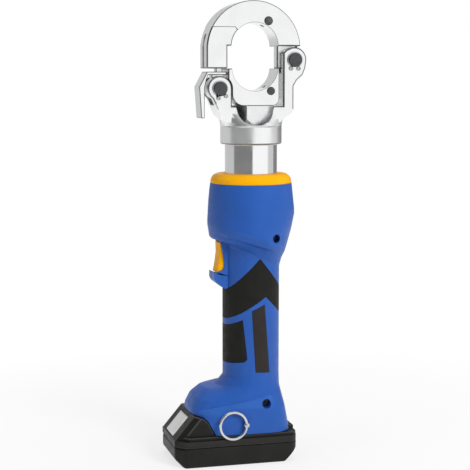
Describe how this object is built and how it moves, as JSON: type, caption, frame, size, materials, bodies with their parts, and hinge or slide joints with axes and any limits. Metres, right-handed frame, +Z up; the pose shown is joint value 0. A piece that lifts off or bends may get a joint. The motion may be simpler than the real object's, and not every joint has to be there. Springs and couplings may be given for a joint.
{
  "type": "hydraulic crimping tool",
  "caption": "Battery powered hydraulic crimping tool with a hinged C head and ram, a swivelling neck, a slim gripped handle with a trigger, and a slide-on battery pack.",
  "frame": {"origin": "on the battery pack's flat underside, below the cylinder's axis", "axes": "+Z up along the cylinder's axis, -X towards the trigger and the pack's button, -Y towards the side with the label plate"},
  "size_m": [0.1261, 0.081, 0.4157],
  "materials": {
    "plated_steel": "bright satin zinc plate",
    "dark_steel": "black oxide",
    "spring_steel": "bright",
    "ground_steel": "ground",
    "chromed_tube": "polished",
    "seal_rubber": "matte",
    "yellow_plastic": "satin",
    "blue_plastic": "fine texture",
    "grip_rubber": "matte",
    "label_film": "satin film",
    "pump_aluminium": "machined",
    "motor_can": "satin",
    "black_plastic": "matte",
    "board_green": "satin",
    "ring_steel": "bright",
    "battery_black": "fine texture",
    "cell_can": "film wrapped",
    "button_grey": "satin"
  },
  "bodies": {
    "tool": {"cylinder": "chromed_tube", "return_spring": "spring_steel", "wiper_seal": "seal_rubber", "swivel_wire": "spring_steel", "neck_ring": "yellow_plastic", "housing_right": "blue_plastic", "housing_left": "blue_plastic", "handle_grip": "grip_rubber", "front_grip": "grip_rubber", "label_plate": "label_film", "housing_screws": "dark_steel", "oil_reservoir": "seal_rubber", "pump_block": "pump_aluminium", "gearbox": "pump_aluminium", "motor": "motor_can", "trigger_pin": "ground_steel", "trigger_switch": "black_plastic", "control_board": "board_green", "terminal_block": "black_plastic", "strap_boss": "ring_steel"},
    "head": {"fork": "plated_steel", "hinge_pin": "dark_steel", "latch_pin": "dark_steel", "circlips": "spring_steel"},
    "jaw": {"upper_jaw": "plated_steel"},
    "upper_pin": {"upper_die_pin": "dark_steel"},
    "latch_lever": {"latch": "plated_steel"},
    "ram_body": {"ram": "ground_steel", "die_holder": "plated_steel", "piston_seal": "seal_rubber"},
    "lower_pin": {"lower_die_pin": "dark_steel"},
    "drive": {"drive_shaft": "ground_steel", "eccentric": "ground_steel"},
    "trigger_lever": {"trigger": "yellow_plastic"},
    "battery": {"battery_tray": "battery_black", "battery_lid": "battery_black", "battery_cells": "cell_can"},
    "release_button": {"battery_button": "button_grey"},
    "strap": {"strap_ring": "ring_steel"}
  },
  "joints": [
    {"name": "head_swivel", "type": "hinge", "parent": "tool", "child": "head", "pos_m": [0, 0, 0.292], "axis": [0, 0, 1], "range_deg": [-175, 175]},
    {"name": "jaw_hinge", "type": "hinge", "parent": "head", "child": "jaw", "pos_m": [0.0369, 0, 0.3635], "axis": [0, 1, 0], "range_deg": [0, 100]},
    {"name": "latch_pivot", "type": "hinge", "parent": "head", "child": "latch_lever", "pos_m": [-0.0324, 0, 0.3379], "axis": [0, -1, 0], "range_deg": [0, 15], "stiffness_Nm_per_rad": 0.4, "springref_deg": -17.19},
    {"name": "ram_stroke", "type": "slide", "parent": "head", "child": "ram_body", "axis": [0, 0, 1], "range_m": [0, 0.0195], "stiffness_N_per_m": 1500, "springref_m": -0.02, "deforming": ["return_spring"]},
    {"name": "upper_die_pin_press", "type": "slide", "parent": "jaw", "child": "upper_pin", "axis": [0, 1, 0], "range_m": [0, 0.002], "stiffness_N_per_m": 1200, "springref_m": -0.001},
    {"name": "lower_die_pin_press", "type": "slide", "parent": "ram_body", "child": "lower_pin", "axis": [0, 1, 0], "range_m": [0, 0.002], "stiffness_N_per_m": 1200, "springref_m": -0.001},
    {"name": "pump_drive", "type": "hinge", "parent": "tool", "child": "drive", "pos_m": [0, 0, 0.2], "axis": [0, 0, 1], "continuous": true},
    {"name": "trigger_pull", "type": "hinge", "parent": "tool", "child": "trigger_lever", "pos_m": [-0.0208, 0, 0.19634], "axis": [0, -1, 0], "range_deg": [0, 5], "stiffness_Nm_per_rad": 0.6, "springref_deg": -5.73},
    {"name": "battery_slide", "type": "slide", "parent": "tool", "child": "battery", "axis": [-1, 0, 0], "range_m": [0, 0.115]},
    {"name": "battery_button_press", "type": "slide", "parent": "battery", "child": "release_button", "axis": [0.7638, 0, -0.6455], "range_m": [0, 0.0025], "stiffness_N_per_m": 800, "springref_m": -0.001},
    {"name": "strap_swing", "type": "hinge", "parent": "tool", "child": "strap", "pos_m": [-0.014, -0.0379, 0.0371], "axis": [0, 0, 1], "range_deg": [0, 150]}
  ]
}
